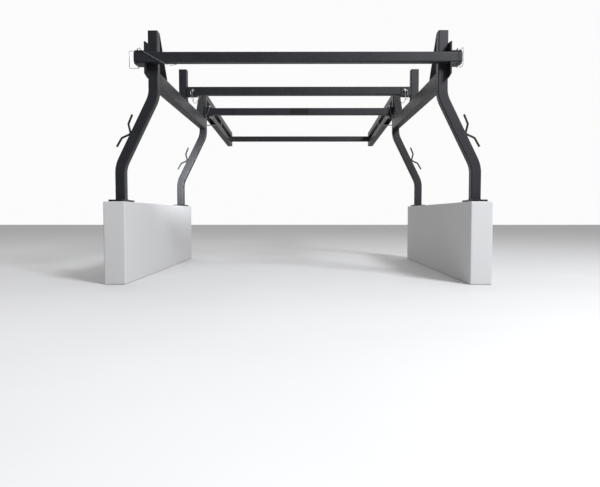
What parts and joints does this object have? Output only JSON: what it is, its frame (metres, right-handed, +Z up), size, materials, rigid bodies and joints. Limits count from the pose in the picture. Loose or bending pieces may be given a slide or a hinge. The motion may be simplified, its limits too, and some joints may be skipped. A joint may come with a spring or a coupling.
{
  "type": "ladder rack",
  "caption": "Steel ladder rack for a truck bed: posts on foot plates, level crossbars held by lock pins with wire bails, and twin over-cab rails.",
  "frame": {"origin": "on the feet plane, midway between the sides and midway between the rear edge of the rear foot pads and the front ends of the over-cab rails", "axes": "+X to the right when looking forward, +Y forward along the truck, +Z up"},
  "size_m": [1.9244, 3.2495, 0.875],
  "materials": {
    "frame_black": "satin black powder coat with a fine texture",
    "zinc_steel": "bright zinc plating",
    "cable_coating": "clear-coated steel cable, seen light grey",
    "cap_plastic": "moulded black plastic",
    "foot_rubber": "matte black rubber",
    "plate_black": "satin black, blank"
  },
  "bodies": {
    "rack": {"left_rear_leg": "frame_black", "right_rear_leg": "frame_black", "left_front_leg": "frame_black", "right_front_leg": "frame_black", "left_rear_foot_plate": "frame_black", "right_rear_foot_plate": "frame_black", "left_front_foot_plate": "frame_black", "right_front_foot_plate": "frame_black", "foot_pads": "foot_rubber", "left_side_rail": "frame_black", "right_side_rail": "frame_black", "left_middle_upright": "frame_black", "right_middle_upright": "frame_black", "left_rear_strut": "frame_black", "right_rear_strut": "frame_black", "left_front_strut": "frame_black", "right_front_strut": "frame_black", "rear_crossbar": "frame_black", "middle_crossbar": "frame_black", "front_crossbar": "frame_black", "over_cab_crossbar": "frame_black", "left_upper_cab_rail": "frame_black", "right_upper_cab_rail": "frame_black", "left_lower_cab_rail": "frame_black", "right_lower_cab_rail": "frame_black", "left_cab_brace": "frame_black", "right_cab_brace": "frame_black", "cab_rail_spacers": "frame_black", "left_rear_bracket": "frame_black", "right_rear_bracket": "frame_black", "left_middle_saddle": "frame_black", "right_middle_saddle": "frame_black", "left_front_bracket": "frame_black", "right_front_bracket": "frame_black", "left_rear_cleat": "frame_black", "right_rear_cleat": "frame_black", "left_front_cleat": "frame_black", "right_front_cleat": "frame_black", "tube_caps": "cap_plastic", "name_plate": "plate_black", "name_plate_rivets": "plate_black", "lanyard_eyelets": "zinc_steel", "left_rear_lanyard": "cable_coating", "left_middle_lanyard": "cable_coating", "right_middle_lanyard": "cable_coating", "left_front_lanyard": "cable_coating", "right_front_lanyard": "cable_coating"},
    "left_rear_pin": {"left_rear_lock_pin": "zinc_steel"},
    "left_rear_bail": {"left_rear_bail": "zinc_steel"},
    "right_rear_pin": {"right_rear_lock_pin": "zinc_steel"},
    "right_rear_bail": {"right_rear_bail": "zinc_steel"},
    "left_middle_pin": {"left_middle_lock_pin": "zinc_steel"},
    "left_middle_bail": {"left_middle_bail": "zinc_steel"},
    "right_middle_pin": {"right_middle_lock_pin": "zinc_steel"},
    "right_middle_bail": {"right_middle_bail": "zinc_steel"},
    "left_front_pin": {"left_front_lock_pin": "zinc_steel"},
    "left_front_bail": {"left_front_bail": "zinc_steel"},
    "right_front_pin": {"right_front_lock_pin": "zinc_steel"},
    "right_front_bail": {"right_front_bail": "zinc_steel"}
  },
  "joints": [
    {"name": "left_rear_pin_turn", "type": "hinge", "parent": "rack", "child": "left_rear_pin", "pos_m": [-0.81147, -1.57248, 0.76085], "axis": [0, 0, 1], "range_deg": [-40, 110]},
    {"name": "left_rear_bail_swing", "type": "hinge", "parent": "left_rear_pin", "child": "left_rear_bail", "pos_m": [-0.81147, -1.57248, 0.76745], "axis": [0, 1, 0], "range_deg": [0, 115]},
    {"name": "right_rear_pin_turn", "type": "hinge", "parent": "rack", "child": "right_rear_pin", "pos_m": [0.81147, -1.57248, 0.76085], "axis": [0, 0, 1], "range_deg": [-20, 130]},
    {"name": "right_rear_bail_swing", "type": "hinge", "parent": "right_rear_pin", "child": "right_rear_bail", "pos_m": [0.81147, -1.57248, 0.76745], "axis": [-1, 0, 0], "range_deg": [0, 115]},
    {"name": "left_middle_pin_turn", "type": "hinge", "parent": "rack", "child": "left_middle_pin", "pos_m": [-0.6792, -0.80913, 0.7284], "axis": [0, 1, 0], "range_deg": [-18, 32]},
    {"name": "left_middle_bail_swing", "type": "hinge", "parent": "left_middle_pin", "child": "left_middle_bail", "pos_m": [-0.6792, -0.81573, 0.7284], "axis": [-0.9945, 0, -0.1045], "range_deg": [0, 150]},
    {"name": "right_middle_pin_turn", "type": "hinge", "parent": "rack", "child": "right_middle_pin", "pos_m": [0.6792, -0.80913, 0.7284], "axis": [0, -1, 0], "range_deg": [-28, 20]},
    {"name": "right_middle_bail_swing", "type": "hinge", "parent": "right_middle_pin", "child": "right_middle_bail", "pos_m": [0.6792, -0.81573, 0.7284], "axis": [-0.9903, 0, -0.1392], "range_deg": [0, 150]},
    {"name": "left_front_pin_turn", "type": "hinge", "parent": "rack", "child": "left_front_pin", "pos_m": [-0.6932, -0.04168, 0.76085], "axis": [0, 0, 1], "range_deg": [-33, 15]},
    {"name": "left_front_bail_swing", "type": "hinge", "parent": "left_front_pin", "child": "left_front_bail", "pos_m": [-0.6932, -0.04168, 0.76745], "axis": [1, 0, 0], "range_deg": [0, 150]},
    {"name": "right_front_pin_turn", "type": "hinge", "parent": "rack", "child": "right_front_pin", "pos_m": [0.6932, -0.04168, 0.76085], "axis": [0, 0, -1], "range_deg": [-33, 15]},
    {"name": "right_front_bail_swing", "type": "hinge", "parent": "right_front_pin", "child": "right_front_bail", "pos_m": [0.6932, -0.04168, 0.76745], "axis": [1, 0, 0], "range_deg": [0, 150]}
  ]
}
